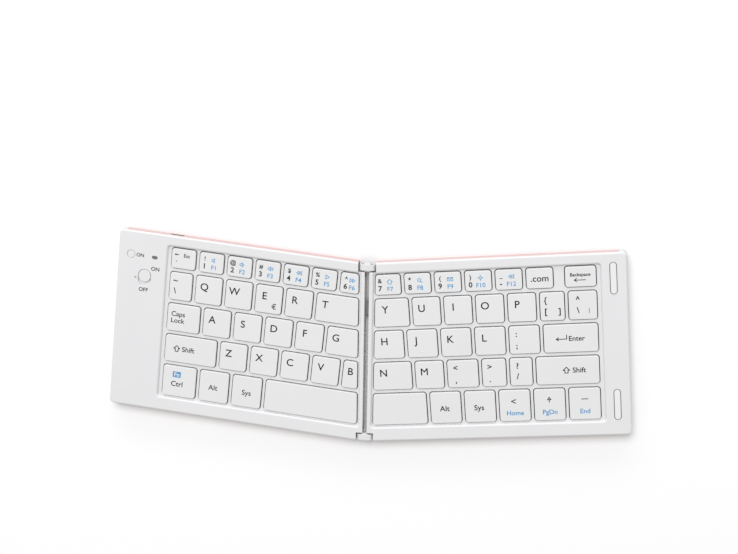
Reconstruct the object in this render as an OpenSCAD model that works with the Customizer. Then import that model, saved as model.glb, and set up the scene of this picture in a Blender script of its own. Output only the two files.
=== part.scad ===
// Folding keyboard: two hinged halves that open flat into a shallow V.
// Millimetres. X runs along the keyboard, Y points to the rear edge, Z points up.
// The origin lies on the table under the middle of the opened keyboard.
// Each half is drawn in its own plan frame: u runs out from the hinge line along the
// key rows, v runs from front to rear across them.

/* [Halves] */
// Thickness of a closed half, without its feet
body_t = 7.2; // [7:0.1:9]
// Angle that each half swings back from a straight line, in plan
v_angle = 5.5; // [0:0.1:7]
// Plan radius of the outer corners
corner_r = 2.5; // [2:0.5:5]
// Radius of the upper edges
edge_r = 1.2; // [0.4:0.1:1.4]
// Radius of the lower long edges of the metal cover
belly_r = 2.6; // [1.5:0.1:3]
// Sheet thickness of the metal cover
cover_t = 0.8; // [0.6:0.05:1]
// Depth of the plastic rim above the cover's long walls
rim_h = 0.8; // [0.5:0.1:1]
// Length of the solid plastic end block at the outer end
end_block = 4; // [4:0.5:6]
// Thickness of the wall beside the hinge
hinge_wall = 1.2; // [0.8:0.1:1.5]
// Thickness of the locating ribs inside the cover's long walls
rib_t = 1.3; // [0.8:0.1:1.6]

/* [Hinge] */
// Distance between the two pivot axes
pivot_gap = 5; // [4.8:0.1:5.4]
// Depth of the pivot axes below the upper face
pivot_drop = 2.1; // [2:0.05:2.2]
// Width of the groove between the opened halves
groove = 2.4; // [2.2:0.1:3.2]
// Radius of the hinge pins
pin_r = 0.75; // [0.6:0.05:0.85]
// Radial running clearance of a pin in its link
pin_clear = 0.05; // [0.02:0.01:0.09]
// Radius of a link's rounded ends
link_r = 1.85; // [1.7:0.05:1.9]
// Length of a link's body along the hinge line
link_len = 3.4; // [3:0.1:4]
// Length of a link's middle rib along the hinge line
link_rib_len = 4.4; // [4.2:0.1:4.6]
// Width of a link's middle rib
link_rib_w = 3.2; // [2.4:0.1:3.6]
// Air round a link in its notch
notch_clear = 0.45; // [0.15:0.05:0.5]
// Side of the lug that holds a pin
lug_w = 1.7; // [1.7:0.1:1.8]
// Length of the lug along the hinge line
lug_len = 2.9; // [2:0.1:3]
// Thickness of the bracket's foot
bracket_t = 1.2; // [0.8:0.1:1.2]
// Reach of the bracket's arm beside the key field
bracket_reach = 24; // [16:1:30]
// Width of the bracket's arm
bracket_w = 3; // [2.4:0.1:3]
// Radius of the melted pegs that hold a bracket
peg_r = 0.7; // [0.5:0.05:0.8]

/* [Key field] */
// Pitch of the letter keys along a row
key_pitch = 17.3; // [16.5:0.1:19]
// Pitch of the letter rows
row_pitch = 18; // [17:0.1:19]
// Side gap between neighbouring keycaps
key_gap = 2.3; // [2:0.1:2.8]
// Gap between two rows of keycaps
row_gap = 2.6; // [2.2:0.1:2.8]
// Rear edge of a half to the number row
rear_margin = 7; // [6.6:0.1:8]
// Front edge of a half to the bottom row
front_margin = 9.6; // [8.5:0.1:12]
// Outer end of the right half to its keys
right_margin = 16.3; // [15:0.1:18]
// Hinge line to the nearest keycap
key_hinge = 4.6; // [4.4:0.1:5]
// Width of the recess floor that shows round the keys
field_lip = 2.4; // [1:0.1:3]
// Depth of the recess under the upper face
field_drop = 1.5; // [1.2:0.1:1.8]
// Thickness of the web between the keys
web_t = 1.2; // [0.8:0.1:1.4]

/* [Key sizes in pitches] */
// Hinge line to the outer side of the left keys, which leaves the control panel
left_field_u = 6.457; // [6.3:0.01:6.6]
// Hinge line to the outer side of the right keys
right_field_u = 7.237; // [7.1:0.01:7.4]
// Depth of the number row
number_row_u = 0.756; // [0.7:0.01:0.85]
// Depth of the space row
space_row_u = 1.133; // [1:0.01:1.2]
// Keys of the left number row
left_number_u = 0.902; // [0.85:0.01:0.93]
// Accent key
accent_u = 0.844; // [0.75:0.01:0.95]
// Letter keys of the left upper row
left_upper_u = 0.971; // [0.9:0.01:1]
// Capitals lock key
caps_u = 1.179; // [1.1:0.01:1.3]
// Left shift key
left_shift_u = 1.803; // [1.7:0.01:1.85]
// Control key
ctrl_u = 1.214; // [1.1:0.01:1.3]
// Keys between control and the left space bar
left_mod_u = 1.081; // [1:0.01:1.15]
// Backspace key
backspace_u = 1.058; // [0.95:0.01:1.15]
// Extra space beside the backspace key
backspace_gap_u = 0.237; // [0:0.01:0.35]
// Keys of the right number row
right_number_u = 0.936; // [0.9:0.01:0.96]
// Letter keys of the right upper row, and the backslash key
right_upper_u = 0.983; // [0.93:0.01:1.01]
// Bracket key
bracket_key_u = 0.867; // [0.8:0.01:0.95]
// Enter key
enter_u = 1.786; // [1.7:0.01:1.85]
// Letter keys of the right middle row
right_middle_u = 1.058; // [1:0.01:1.09]
// Right shift key
right_shift_u = 2.058; // [1.95:0.01:2.15]
// Slash key
slash_u = 0.815; // [0.75:0.01:0.9]
// Full stop key
stop_u = 0.867; // [0.8:0.01:0.95]
// Comma key
comma_u = 1.087; // [1:0.01:1.15]
// Letter key M
right_lower_u = 1.012; // [0.95:0.01:1.1]
// Keys of the right bottom row
right_mod_u = 1.087; // [1.03:0.01:1.12]

/* [Keycaps] */
// Corner radius of a keycap
cap_r = 1.4; // [0.8:0.1:1.8]
// Keycap top below the upper face
cap_drop = 0.3; // [0.2:0.05:0.4]
// Height of a keycap
cap_h = 2.7; // [2.5:0.1:2.8]
// Wall of a keycap
cap_wall = 1; // [0.8:0.1:1.2]
// Radius of the plunger under a keycap
plunger_r = 1.5; // [1.2:0.1:1.6]
// Travel of a key
key_travel = 1.2; // [1:0.1:1.2]
// Air between a keycap and the web
key_clear = 0.45; // [0.25:0.05:0.5]

/* [Under the keys] */
// Thickness of the steel key plate
plate_t = 0.4; // [0.3:0.05:0.4]
// Thickness of the printed contact sheet
sheet_t = 0.3; // [0.2:0.05:0.3]
// Outer radius of a rubber dome
dome_r = 3; // [2.6:0.1:3.2]
// Inner radius of a rubber dome
dome_bore = 1.9; // [1.8:0.1:2]
// Height of a rubber dome
dome_h = 1.6; // [1.4:0.1:1.6]
// Key plate beyond the keycaps
plate_lip = 1; // [0.5:0.1:1.2]

/* [Controls] */
// Pairing button from the outer end
pair_u = 7.1; // [6.5:0.1:8]
// Pairing button from the rear edge
pair_v = 13.5; // [12:0.1:15]
// Radius of the pairing button
pair_r = 2.1; // [1.6:0.1:2.4]
// Travel of the pairing button
pair_travel = 0.5; // [0.3:0.05:0.6]
// Status light from the outer end
light_u = 20.4; // [19:0.1:22]
// Status light from the rear edge
light_v = 13.8; // [12:0.1:15]
// Length of the status light
light_w = 2.8; // [2:0.1:3.4]
// Width of the status light
light_d = 1.6; // [1.2:0.1:2]
// Power switch from the outer end
switch_u = 15.4; // [14:0.1:17]
// Power switch from the rear edge
switch_v = 25.8; // [24:0.1:28]
// Width of the switch's pocket
pocket_w = 7.2; // [6.6:0.1:8]
// Length of the switch's pocket
pocket_l = 9.4; // [9:0.1:10]
// Depth of the switch's pocket
pocket_h = 1.3; // [1:0.1:1.4]
// Air between the switch's knob and its pocket
knob_clear = 0.25; // [0.15:0.05:0.4]
// Travel of the switch's knob
knob_travel = 2; // [1.5:0.1:2.2]
// Running air of a button or light in its hole
hole_clear = 0.15; // [0.1:0.05:0.2]
// Width of the charging socket
usb_w = 7.5; // [7:0.1:8]
// Height of the charging socket
usb_h = 2.4; // [2.2:0.1:2.4]
// Depth of the charging socket
usb_d = 5; // [4.5:0.1:5]
// Wall of the charging socket
usb_wall = 0.3; // [0.25:0.05:0.4]
// Charging socket from the outer end
usb_u = 31.5; // [30:0.5:34]
// Thickness of the circuit board
board_t = 0.8; // [0.6:0.1:0.8]
// Margin of the circuit board beyond what it carries
board_edge = 1.2; // [0.8:0.1:1.5]
// Screw holes of the circuit board from its corners
board_screw = 3.3; // [3:0.1:4]
// Side of the radio chip
chip_w = 6; // [4:0.5:7]
// Length of the battery
battery_l = 46; // [36:1:48]
// Width of the battery
battery_w = 19; // [15:0.5:19.5]
// Thickness of the battery
battery_t = 3; // [2.5:0.1:3.2]

/* [Feet and pads] */
// Height of a foot
foot_h = 0.8; // [0.5:0.1:1.2]
// Length of a foot
foot_l = 17; // [12:0.5:20]
// Width of a foot
foot_w = 5.2; // [4:0.1:6]
// Width of a closing pad
pad_w = 3.3; // [2.5:0.1:4]
// Length of a closing pad
pad_l = 17; // [12:0.5:20]
// Height of a closing pad above the upper face
pad_rise = 0.4; // [0.2:0.05:0.45]
// Depth of a closing pad's groove
pad_sunk = 0.4; // [0.3:0.05:0.6]
// Closing pads from the outer end
pad_u = 7.3; // [6:0.1:8]
// Rear closing pad from the middle of the half
pad_rear = 37; // [30:0.5:40]
// Front closing pad from the middle of the half
pad_front = -33.3; // [-40:0.1:-25]

/* [Flex cable] */
// Width of the flat cable across the hinge
flex_w = 8; // [6:0.5:10]
// Thickness of the flat cable
flex_t = 0.2; // [0.15:0.05:0.25]
// Middle of the flat cable, rearward of the halves' middle
flex_y = 25; // [15:0.5:28]

/* [Hidden] */
$fn = 48;
LEFT = 0;
RIGHT = 1;
eps = 0.01;
arc_steps = 8;
far = 200;

// Depths of the rows, from the rear
ROW_D = [
    for (units = [number_row_u, 1, 1, 1, space_row_u]) units*row_pitch - row_gap
];

// Plan sizes of a half
left_end = left_field_u*key_pitch;
right_end = right_field_u*key_pitch;
half_w = right_end + right_margin;
half_d = rear_margin + sum(ROW_D, 5) + 4*row_gap + front_margin;

// Heights above the table
top_z = foot_h + body_t;
floor_z = foot_h + cover_t;
rim_z = top_z - rim_h;
web_top = top_z - field_drop;
web_z = web_top - web_t;
cap_top = top_z - cap_drop;
cap_z = cap_top - cap_h;
plate_top = floor_z + plate_t;
sheet_top = plate_top + sheet_t;
dome_top = sheet_top + dome_h;
plunger_z = dome_top + 0.1;
pivot_z = top_z - pivot_drop;
bracket_z = sheet_top + 0.1;
lug_top = pivot_z + pin_r + 0.25;
board_z = floor_z + 0.4;
board_top = board_z + board_t;
flex_z = sheet_top + 0.6;

// Plan sizes
hd = half_d/2;
inner_v = hd - cover_t;
rib_v = inner_v - rib_t;
pivot_x = pivot_gap/2;
notch_x = pivot_x + link_r + notch_clear;
link_end = hd/cos(v_angle) - 0.35;
link_mid = link_end - link_rib_len/2;
notch_y = link_end - link_rib_len - 0.4;
lug_x = pivot_x - pin_r - 0.05;
wall_x = groove/2 + hinge_wall;
foot_x = notch_x + 0.4;
arm_x = foot_x + bracket_w/2;
arm_v = rib_v - 0.4;
panel_u = left_end + field_lip;
cover_end = half_w - end_block;
battery_v = -rib_v + 2;

// Bounding box of the opened keyboard, front to rear
rear_y = (half_w - corner_r)*sin(v_angle) + (hd - corner_r)*cos(v_angle) + corner_r;
front_y = min(notch_x*tan(v_angle) - hd/cos(v_angle), -link_end);
y_shift = -(rear_y + front_y)/2;

// Pitches of the keys in each row, from the outer end to the hinge; the key next to the
// hinge fills its row up to the hinge line and has no pitch of its own
ROW_U = [
    [
        [for (i = [0:5]) left_number_u],
        concat([accent_u], [for (i = [0:3]) left_upper_u]),
        concat([caps_u], [for (i = [0:3]) 1]),
        concat([left_shift_u], [for (i = [0:3]) 1]),
        [ctrl_u, left_mod_u, left_mod_u]
    ],
    [
        concat([backspace_u + backspace_gap_u], [for (i = [0:4]) right_number_u]),
        concat([right_upper_u, bracket_key_u], [for (i = [0:3]) right_upper_u]),
        concat([enter_u], [for (i = [0:3]) right_middle_u]),
        [right_shift_u, slash_u, stop_u, comma_u, right_lower_u],
        [for (i = [0:4]) right_mod_u]
    ]
];

// Key nodes: name, half, and the keys in it as [row, place from the outer end]
KEYS = [
    ["left_number_keys", LEFT, [for (i = [0:6]) [0, i]]],
    ["left_side_keys", LEFT, [[1, 0], [4, 1], [4, 2]]],
    ["key_q", LEFT, [[1, 1]]],
    ["key_w", LEFT, [[1, 2]]],
    ["key_e", LEFT, [[1, 3]]],
    ["key_r", LEFT, [[1, 4]]],
    ["key_t", LEFT, [[1, 5]]],
    ["key_caps_lock", LEFT, [[2, 0]]],
    ["key_a", LEFT, [[2, 1]]],
    ["key_s", LEFT, [[2, 2]]],
    ["key_d", LEFT, [[2, 3]]],
    ["key_f", LEFT, [[2, 4]]],
    ["key_g", LEFT, [[2, 5]]],
    ["key_left_shift", LEFT, [[3, 0]]],
    ["key_z", LEFT, [[3, 1]]],
    ["key_x", LEFT, [[3, 2]]],
    ["key_c", LEFT, [[3, 3]]],
    ["key_v", LEFT, [[3, 4]]],
    ["key_b", LEFT, [[3, 5]]],
    ["key_ctrl", LEFT, [[4, 0]]],
    ["key_left_space", LEFT, [[4, 3]]],
    ["right_number_keys", RIGHT, [for (i = [1:6]) [0, i]]],
    ["right_symbol_keys", RIGHT, [[1, 0], [1, 1], [2, 1], [3, 1], [3, 2], [3, 3]]],
    ["right_bottom_keys", RIGHT, [for (i = [0:4]) [4, i]]],
    ["key_backspace", RIGHT, [[0, 0]]],
    ["key_p", RIGHT, [[1, 2]]],
    ["key_o", RIGHT, [[1, 3]]],
    ["key_i", RIGHT, [[1, 4]]],
    ["key_u", RIGHT, [[1, 5]]],
    ["key_y", RIGHT, [[1, 6]]],
    ["key_enter", RIGHT, [[2, 0]]],
    ["key_l", RIGHT, [[2, 2]]],
    ["key_k", RIGHT, [[2, 3]]],
    ["key_j", RIGHT, [[2, 4]]],
    ["key_h", RIGHT, [[2, 5]]],
    ["key_right_shift", RIGHT, [[3, 0]]],
    ["key_m", RIGHT, [[3, 4]]],
    ["key_n", RIGHT, [[3, 5]]],
    ["key_right_space", RIGHT, [[4, 5]]]
];

// ---- plan geometry ----

function sum(list, count) = count <= 0 ? 0 : list[count - 1] + sum(list, count - 1);
function unit(p) = p/norm(p);

// Rear edge of a row, as v
function row_rear(row) = hd - rear_margin - sum(ROW_D, row) - row*row_gap;
function row_front(row) = row_rear(row) - ROW_D[row];

// Outer edge of a key and its width, as u
function key_far(side, row, i) =
    (side == LEFT ? left_end : right_end) - sum(ROW_U[side][row], i)*key_pitch;
function key_w(side, row, i) =
    (ROW_U[side][row][i] - (side == RIGHT && row == 0 && i == 0 ? backspace_gap_u : 0))*key_pitch
    - key_gap;

// u of the point at height v that lies x off the hinge line
function hinge_u(x, v) = (x + v*sin(v_angle))/cos(v_angle);

// Corners of a key's plan, grown by some clearance
function key_corners(side, row, i, grow = 0) =
    let(far_u = key_far(side, row, i) + grow,
        last = i == len(ROW_U[side][row]),
        v0 = row_front(row) - grow,
        v1 = row_rear(row) + grow,
        near0 = last ? hinge_u(key_hinge - grow, v0) : far_u - key_w(side, row, i) - 2*grow,
        near1 = last ? hinge_u(key_hinge - grow, v1) : near0)
    [[near0, v0], [far_u, v0], [far_u, v1], [near1, v1]];

function middle(p) = (p[0] + p[1] + p[2] + p[3])/4;

// Corners of a region of the key field whose near side runs along the hinge line
function field_corners(x, far_u, v0, v1) =
    [[hinge_u(x, v0), v0], [far_u, v0], [far_u, v1], [hinge_u(x, v1), v1]];

// Points along the arc that rounds a corner off square
function arc_points(centre, from, to, r) =
    [for (i = [0:arc_steps]) centre + r*unit(from*(arc_steps - i) + to*i)];

// A convex outline with its corners rounded, one radius for each corner: true circles in
// square corners, short facets in the others
module rounded(outline, radii) {
    n = len(outline);
    side_middle = (outline[0] + outline[n - 1])/2;
    o = [round(side_middle[0]), round(side_middle[1])];
    points = [for (p = outline) p - o];
    back = [for (i = [0:n - 1]) unit(points[(i + n - 1)%n] - points[i])];
    ahead = [for (i = [0:n - 1]) unit(points[(i + 1)%n] - points[i])];
    turn = [for (i = [0:n - 1]) acos(back[i]*ahead[i])/2];
    square = [for (i = [0:n - 1]) abs(turn[i] - 45) < 0.01];
    centre = [for (i = [0:n - 1])
        points[i] + unit(back[i] + ahead[i])*radii[i]/sin(turn[i])];
    start = [for (i = [0:n - 1]) points[i] + back[i]*radii[i]/tan(turn[i])];
    end = [for (i = [0:n - 1]) points[i] + ahead[i]*radii[i]/tan(turn[i])];
    translate(o) {
        polygon([for (i = [0:n - 1]) each radii[i] == 0 ? [points[i]] :
            square[i] ? [start[i], end[i]] :
            arc_points(centre[i], (start[i] - centre[i])/radii[i], (end[i] - centre[i])/radii[i], radii[i])]);
        for (i = [0:n - 1])
            if (radii[i] > 0 && square[i]) translate(centre[i]) circle(radii[i]);
    }
}

module rounded_all(points, r) {
    rounded(points, [for (p = points) r]);
}

// A slot with round ends, long along v
module stadium(w, l) {
    translate([-w/2, -(l - w)/2]) square([w, l - w]);
    for (s = [-1, 1]) translate([0, s*(l - w)/2]) circle(w/2);
}

// ---- frames ----

// World frame of a half: x runs out from the hinge line
module at_hinge(side) {
    translate([0, y_shift, 0]) mirror([side == LEFT ? 1 : 0, 0, 0]) children();
}

// Plan frame of a half: u along the key rows, v across them
module in_plan(side) {
    at_hinge(side) rotate([0, 0, v_angle]) children();
}

// Extrudes a section drawn in v and z along the rows
module along_rows(u0, u1) {
    translate([u0, 0, 0]) rotate([90, 0, 90]) linear_extrude(u1 - u0) children();
}

// Extrudes a section drawn in x and z along the hinge line
module along_hinge(y0, y1) {
    translate([0, y1, 0]) rotate([90, 0, 0]) linear_extrude(y1 - y0) children();
}

module slab(z0, z1) {
    translate([0, 0, z0]) linear_extrude(z1 - z0) children();
}

// ---- shells ----

// Everything beyond a line x off the hinge line
module beyond(side, x) {
    at_hinge(side) translate([x, -far/2, -far/4]) cube([far, far, far/2]);
}

// The notches for the hinge links at both inner corners
module notches(side) {
    at_hinge(side) for (s = [0, 1]) mirror([0, s, 0])
        translate([-1, notch_y, -1]) cube([notch_x + 1, far/4, far/4]);
}

// Outer form of a half: plan, long section and end section together
module half_form(side) {
    intersection() {
        in_plan(side) slab(foot_h, top_z)
            rounded([[-20, -hd], [half_w, -hd], [half_w, hd], [-20, hd]], [0, corner_r, corner_r, 0]);
        in_plan(side) along_rows(-20, half_w + 1)
            rounded([[-hd, foot_h], [hd, foot_h], [hd, top_z], [-hd, top_z]],
                [belly_r, belly_r, edge_r, edge_r]);
        in_plan(side) along_hinge(-hd - 1, hd + 1)
            rounded([[-20, foot_h], [half_w, foot_h], [half_w, top_z], [-20, top_z]],
                [0, edge_r/2, edge_r, 0]);
        beyond(side, groove/2);
    }
}

// Where the metal cover lies, up to its rim
module cover_space(side) {
    in_plan(side) {
        translate([-20, -hd - 1, -1]) cube([cover_end + 20, half_d + 2, floor_z + 1]);
        for (s = [0, 1]) mirror([0, s, 0])
            translate([-20, inner_v, -1]) cube([cover_end + 20, 5, rim_z + 1]);
    }
}

// Room under the upper plate
module hollow(side) {
    in_plan(side) {
        slab(-1, web_z) polygon(field_corners(wall_x, cover_end, -rib_v, rib_v));
        for (s = [0, 1]) mirror([0, s, 0])
            translate([-20, rib_v - 5, -1]) cube([cover_end + 20, 10, floor_z + belly_r + 1]);
    }
}

module key_windows(side) {
    in_plan(side) for (row = [0:4], i = [0:len(ROW_U[side][row])])
        slab(web_z - 1, web_top + 1)
            rounded_all(key_corners(side, row, i, key_clear), cap_r + key_clear);
}

module key_recess(side) {
    in_plan(side) slab(web_top, top_z + 1)
        rounded_all(field_corners(key_hinge - 1, (side == LEFT ? left_end : right_end) + field_lip,
            row_front(4) - field_lip/2, row_rear(0) + field_lip/3), cap_r);
}

module flex_slot(side) {
    at_hinge(side) translate([-1, flex_y - flex_w/2 - 0.4, flex_z - flex_t/2 - 0.3])
        cube([wall_x + 2, flex_w + 0.8, flex_t + 0.6]);
}

module lug_room(side) {
    at_hinge(side) for (s = [0, 1]) mirror([0, s, 0])
        translate([-1, notch_y - lug_len - 0.3, -1])
            cube([lug_x + lug_w + 1.1, lug_len + 1, lug_top + 1.1]);
}

// Pegs of the frame that pass through a bracket's arm and are melted flat
module pegs(side, r, z0, z1) {
    in_plan(side) for (s = [-1, 1], u = [0.6*bracket_reach, bracket_reach - bracket_w])
        translate([u, s*(arm_v - bracket_w/2), z0]) cylinder(r = r, h = z1 - z0);
}

module top_frame(side) {
    color("whitesmoke") union() {
        difference() {
            half_form(side);
            cover_space(side);
            hollow(side);
            key_recess(side);
            key_windows(side);
            notches(side);
            lug_room(side);
            flex_slot(side);
            if (side == LEFT) control_holes();
            if (side == RIGHT) pad_shapes(top_z - pad_sunk, top_z + 1, 0.1);
        }
        pegs(side, peg_r, bracket_z - 0.3, web_z + eps);
        pegs(side, peg_r*1.7, bracket_z - 0.3, bracket_z);
    }
}

// Pressed metal channel with rounded long edges, open at both ends
module back_cover(side) {
    color("pink") difference() {
        intersection() {
            in_plan(side) along_rows(-20, cover_end) difference() {
                rounded([[-hd, foot_h], [hd, foot_h], [hd, rim_z], [-hd, rim_z]],
                    [belly_r, belly_r, 0, 0]);
                rounded([[-inner_v, floor_z], [inner_v, floor_z], [inner_v, top_z], [-inner_v, top_z]],
                    [belly_r - cover_t, belly_r - cover_t, 0, 0]);
            }
            beyond(side, groove/2);
        }
        notches(side);
        if (side == LEFT) usb_shape(usb_w + 0.6, usb_h + 0.6, hd - usb_d, hd + 1);
    }
}

module feet(side) {
    color("white") in_plan(side)
        for (s = [-1, 1]) {
            slab(0, foot_h) translate([hinge_u(groove/2, s*(hd - 7)) + 4 + foot_l/2, s*(hd - 7)])
                rotate(90) stadium(foot_w, foot_l);
            slab(0, foot_h) translate([half_w - 8 - foot_l/2, s*(hd - (s > 0 ? 13 : 9))])
                rotate(90) stadium(foot_w, foot_l);
        }
}

// ---- hinge ----

// Pin, lug and arm of one hinge bracket, at both ends of the hinge line
module hinge_brackets(side) {
    color("silver") {
        at_hinge(side) for (s = [0, 1]) mirror([0, s, 0]) {
            along_hinge(notch_y - lug_len/2, link_mid + link_len/2)
                translate([pivot_x, pivot_z]) circle(pin_r);
            translate([lug_x, notch_y - lug_len, bracket_z])
                cube([lug_w, lug_len - 0.2, lug_top - bracket_z]);
            translate([lug_x, notch_y - lug_len, bracket_z])
                cube([foot_x + bracket_w - lug_x, lug_len - 0.2, bracket_t]);
            translate([foot_x, notch_y - lug_len, bracket_z])
                cube([bracket_w, 1.5*lug_len, bracket_t]);
        }
        difference() {
            in_plan(side) slab(bracket_z, bracket_z + bracket_t) {
                polygon(field_corners(arm_x, bracket_reach, arm_v - bracket_w, arm_v));
                polygon(field_corners(arm_x, bracket_reach, -arm_v, -arm_v + bracket_w));
            }
            pegs(side, peg_r + 0.05, 0, top_z);
        }
    }
}

// Two links, each with two bores and a middle rib
module hinge_links() {
    color("white") translate([0, y_shift, 0]) for (s = [0, 1]) mirror([0, s, 0]) difference() {
        union() {
            along_hinge(link_mid - link_len/2, link_mid + link_len/2) translate([0, pivot_z])
                rotate(90) stadium(2*link_r, pivot_gap + 2*link_r);
            along_hinge(link_mid - link_rib_len/2, link_mid + link_rib_len/2) translate([0, pivot_z])
                square([link_rib_w, 2*link_r - 0.6], center = true);
        }
        for (x = [-pivot_x, pivot_x])
            along_hinge(link_mid - link_len, link_mid + link_len)
                translate([x, pivot_z]) circle(pin_r + pin_clear);
    }
}

// Flat cable that joins the two contact sheets through slots in the hinge walls
module flex_cable() {
    flat = wall_x + 1.2;
    low = flat + 2.4;
    tail = low + 4;
    z0 = sheet_top + flex_t/2;
    path = [[-tail, z0], [-low, z0], [-flat, flex_z], [flat, flex_z], [low, z0], [tail, z0]];
    color("orange") translate([0, y_shift, 0]) along_hinge(flex_y - flex_w/2, flex_y + flex_w/2)
        polygon(concat([for (p = path) p + [0, flex_t/2]],
            [for (i = [len(path) - 1:-1:0]) path[i] - [0, flex_t/2]]));
}

// ---- under the keys ----

module key_plate(side) {
    color("gray") in_plan(side) slab(floor_z, plate_top)
        polygon(field_corners(wall_x + 0.2, (side == LEFT ? left_end : right_end) + plate_lip,
            row_front(4) - plate_lip, row_rear(0) + plate_lip/2));
}

module contact_sheet(side) {
    color("lightsteelblue") in_plan(side) {
        slab(plate_top, sheet_top)
            polygon(field_corners(wall_x + 0.4, (side == LEFT ? left_end : right_end) + plate_lip,
                row_front(4) - plate_lip, row_rear(0) + plate_lip/2));
        for (row = [0:4], i = [0:len(ROW_U[side][row])])
            translate(middle(key_corners(side, row, i))) slab(sheet_top - eps, dome_top) difference() {
                circle(dome_r);
                circle(dome_bore);
            }
    }
}

// A group of keycaps, each a shell with a plunger under its middle
module keycaps(side, keys) {
    color("white") in_plan(side) for (k = keys) {
        difference() {
            slab(cap_z, cap_top) rounded_all(key_corners(side, k[0], k[1]), cap_r);
            slab(cap_z - 1, cap_top - cap_wall)
                polygon(key_corners(side, k[0], k[1], -cap_wall));
        }
        translate(middle(key_corners(side, k[0], k[1])))
            slab(plunger_z, cap_top - cap_wall + eps) circle(plunger_r);
    }
}

// ---- controls in the left half ----

module at_control(u, v) {
    in_plan(LEFT) translate([half_w - u, hd - v, 0]) children();
}

// The socket's outline, a slot across the rear wall
module usb_shape(w, h, v0, v1) {
    in_plan(LEFT) translate([half_w - usb_u, 0, board_top + usb_h/2]) translate([0, v1, 0]) rotate([90, 0, 0])
        linear_extrude(v1 - v0) rotate(90) stadium(h, w);
}

module control_holes() {
    at_control(pair_u, pair_v) cylinder(r = pair_r + hole_clear, h = far);
    at_control(light_u, light_v) slab(0, far) rotate(90) stadium(light_d + 2*hole_clear, light_w + 2*hole_clear);
    at_control(switch_u, switch_v) {
        slab(top_z - pocket_h, far) stadium(pocket_w, pocket_l);
        slab(0, far) stadium(pocket_w/3 + 2*knob_clear, pocket_w/3 + knob_travel + 2.5*knob_clear);
    }
    usb_shape(usb_w + 0.6, usb_h + 0.6, hd - usb_d - 1, hd + 1);
}

module pairing_button() {
    color("white") at_control(pair_u, pair_v) {
        translate([0, 0, web_z - 0.5]) cylinder(r = pair_r, h = top_z - 0.1 - web_z + 0.5);
        translate([0, 0, web_z - 0.5]) cylinder(r = pair_r + 0.7, h = 0.4);
    }
}

module status_light() {
    color("lightgray") at_control(light_u, light_v) slab(board_top, top_z - 0.05)
        rotate(90) stadium(light_d, light_w);
}

// Knob in its pocket at ON, with a stem down to the slide switch
module power_switch() {
    knob_l = pocket_l - knob_travel - 2*knob_clear;
    color("white") at_control(switch_u, switch_v) translate([0, knob_travel/2, 0]) {
        slab(top_z - pocket_h + 0.1, top_z) stadium(pocket_w - 2*knob_clear, knob_l);
        slab(web_z - 0.6, top_z - pocket_h + 0.2) circle(pocket_w/6);
    }
}

module circuit_board() {
    strip_u = half_w - usb_u - usb_w/2 - board_edge;
    main_u = panel_u - board_edge;
    end_u = cover_end - board_edge/2;
    rear_v = rib_v - 0.3;
    strip_v = row_rear(0) + plate_lip/2 + 0.2;
    main_v = battery_v + battery_l + 2*board_edge;
    color("darkgreen") in_plan(LEFT) slab(board_z, board_top) difference() {
        polygon([[main_u, main_v], [end_u, main_v], [end_u, rear_v], [strip_u, rear_v],
            [strip_u, strip_v], [main_u, strip_v]]);
        for (u = [main_u + board_screw, end_u - board_screw])
            translate([u, main_v + board_screw]) circle(board_screw/3);
    }
    color("dimgray") {
        at_control(pair_u, pair_v) slab(board_top - eps, web_z - 0.6 - pair_travel)
            square(2*pair_r, center = true);
        at_control(switch_u, switch_v) slab(board_top - eps, web_z - 0.7)
            square([pocket_w/2, pocket_l], center = true);
        in_plan(LEFT) slab(board_top - eps, 2*board_top - board_z)
            translate([end_u - chip_w - board_edge, main_v + 2*board_screw]) square(chip_w);
    }
}

// Shielded shell of the socket with its contact tongue
module charging_socket() {
    color("silver") {
        difference() {
            usb_shape(usb_w, usb_h, hd - usb_d - 0.3, hd - 0.3);
            usb_shape(usb_w - 2*usb_wall, usb_h - 2*usb_wall, hd - usb_d, hd + 1);
        }
        in_plan(LEFT) translate([half_w - usb_u - usb_w/4, hd - usb_d - eps, board_top + usb_h/2 - 0.2])
            cube([usb_w/2, usb_d*0.7, 0.4]);
    }
}

module battery() {
    color("gold") in_plan(LEFT) slab(floor_z, floor_z + battery_t)
        translate([panel_u + (cover_end - panel_u - battery_w)/2, battery_v])
            rounded_all([[0, 0], [battery_w, 0], [battery_w, battery_l], [0, battery_l]], 1);
}

// ---- closing pads on the right half ----

module pad_shapes(z0, z1, grow = 0) {
    in_plan(RIGHT) for (v = [pad_rear, pad_front])
        slab(z0, z1) translate([half_w - pad_u, v]) stadium(pad_w + 2*grow, pad_l + 2*grow);
}

module closing_pads() {
    color("gainsboro") pad_shapes(top_z - pad_sunk, top_z + pad_rise);
}

top_frame(LEFT);  // left_top_frame
top_frame(RIGHT);  // right_top_frame
back_cover(LEFT);  // left_back_cover
back_cover(RIGHT);  // right_back_cover
key_plate(LEFT);  // left_key_plate
key_plate(RIGHT);  // right_key_plate
contact_sheet(LEFT);  // left_contact_sheet
contact_sheet(RIGHT);  // right_contact_sheet
feet(LEFT);  // left_feet
feet(RIGHT);  // right_feet
hinge_brackets(LEFT);  // left_hinge_brackets
hinge_brackets(RIGHT);  // right_hinge_brackets
hinge_links();
flex_cable();
battery();
circuit_board();
charging_socket();
status_light();
power_switch();
pairing_button();
closing_pads();
for (k = KEYS) keycaps(k[1], k[2]);
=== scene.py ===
import math

import bmesh
import bpy
from mathutils import Matrix, Vector


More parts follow.
